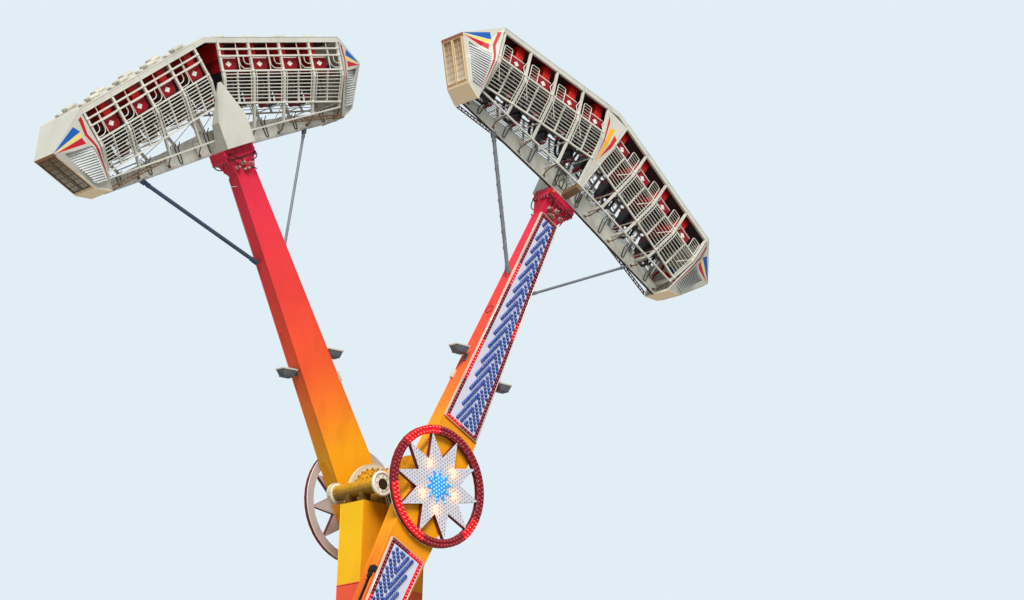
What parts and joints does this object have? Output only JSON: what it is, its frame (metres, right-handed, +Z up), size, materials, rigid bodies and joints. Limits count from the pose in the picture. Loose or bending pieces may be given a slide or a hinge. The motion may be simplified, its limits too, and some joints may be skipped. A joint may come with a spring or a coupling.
{
  "type": "twin-arm looping swing ride",
  "caption": "Fairground ride with counter-turning swing arms on one hub axis, each with a caged gondola at its tip, a light panel, a star wheel and a counterweight.",
  "frame": {"origin": "on the ground, in the underside of the central foot, straight under the hub axis", "axes": "+Z up, hub axis along Y, the front arm on the -Y side of the mast and the rear arm on the +Y side"},
  "size_m": [16.988, 6.78, 23.3627],
  "materials": {
    "arm_paint": "gloss paint fading from red at the tip to yellow at the hub",
    "counterweight_paint": "gloss paint",
    "light_panel": "white panel with coloured bulbs",
    "wheel_paint": "gloss red paint with bulbs",
    "cream_paint": "weathered satin paint",
    "lamp_housing": "matt grey",
    "strut_steel": "satin blue-grey paint",
    "nose_panel": "satin beige paint",
    "seat_shell": "moulded red shell with grey restraint",
    "cage_paint": "weathered cream paint",
    "chassis_paint": "satin dark grey paint",
    "lower_mast_paint": "satin orange-red paint",
    "upper_mast_paint": "satin yellow paint",
    "hub_paint": "greasy yellow paint"
  },
  "bodies": {
    "base": {"base_chassis": "chassis_paint", "outrigger_left": "lower_mast_paint", "outrigger_right": "lower_mast_paint", "mast_lower": "lower_mast_paint", "mast_upper": "upper_mast_paint", "hub_drum": "hub_paint", "drive_cylinder": "hub_paint"},
    "front_arm": {"front_arm_beam": "arm_paint", "front_counterweight": "counterweight_paint", "front_light_panel_upper": "light_panel", "front_light_panel_lower": "light_panel", "front_star_wheel": "wheel_paint", "front_roof_girder": "cream_paint", "front_inner_pillar": "cream_paint", "front_outer_wedge": "cream_paint", "front_floodlight_left": "lamp_housing", "front_floodlight_right": "lamp_housing", "front_strut_left": "strut_steel", "front_strut_right": "strut_steel", "front_floor_left": "cream_paint", "front_floor_right": "cream_paint", "front_nose_left": "nose_panel", "front_nose_right": "nose_panel", "front_seats_left": "seat_shell", "front_seats_right": "seat_shell", "front_cage_left_inner": "cage_paint", "front_cage_right_inner": "cage_paint", "front_cage_left_outer": "cage_paint", "front_cage_right_outer": "cage_paint"},
    "rear_arm": {"rear_arm_beam": "arm_paint", "rear_counterweight": "counterweight_paint", "rear_light_panel_upper": "light_panel", "rear_light_panel_lower": "light_panel", "rear_star_wheel": "wheel_paint", "rear_roof_girder": "cream_paint", "rear_inner_pillar": "cream_paint", "rear_outer_wedge": "cream_paint", "rear_floodlight_left": "lamp_housing", "rear_floodlight_right": "lamp_housing", "rear_strut_left": "strut_steel", "rear_strut_right": "strut_steel", "rear_floor_left": "cream_paint", "rear_floor_right": "cream_paint", "rear_nose_left": "nose_panel", "rear_nose_right": "nose_panel", "rear_seats_left": "seat_shell", "rear_seats_right": "seat_shell", "rear_cage_left_inner": "cage_paint", "rear_cage_right_inner": "cage_paint", "rear_cage_left_outer": "cage_paint", "rear_cage_right_outer": "cage_paint"}
  },
  "joints": [
    {"name": "front_arm_swing", "type": "hinge", "parent": "base", "child": "front_arm", "pos_m": [0, 0, 12.5], "axis": [0, 1, 0], "continuous": true},
    {"name": "rear_arm_swing", "type": "hinge", "parent": "base", "child": "rear_arm", "pos_m": [0, 0, 12.5], "axis": [0, 1, 0], "continuous": true}
  ]
}
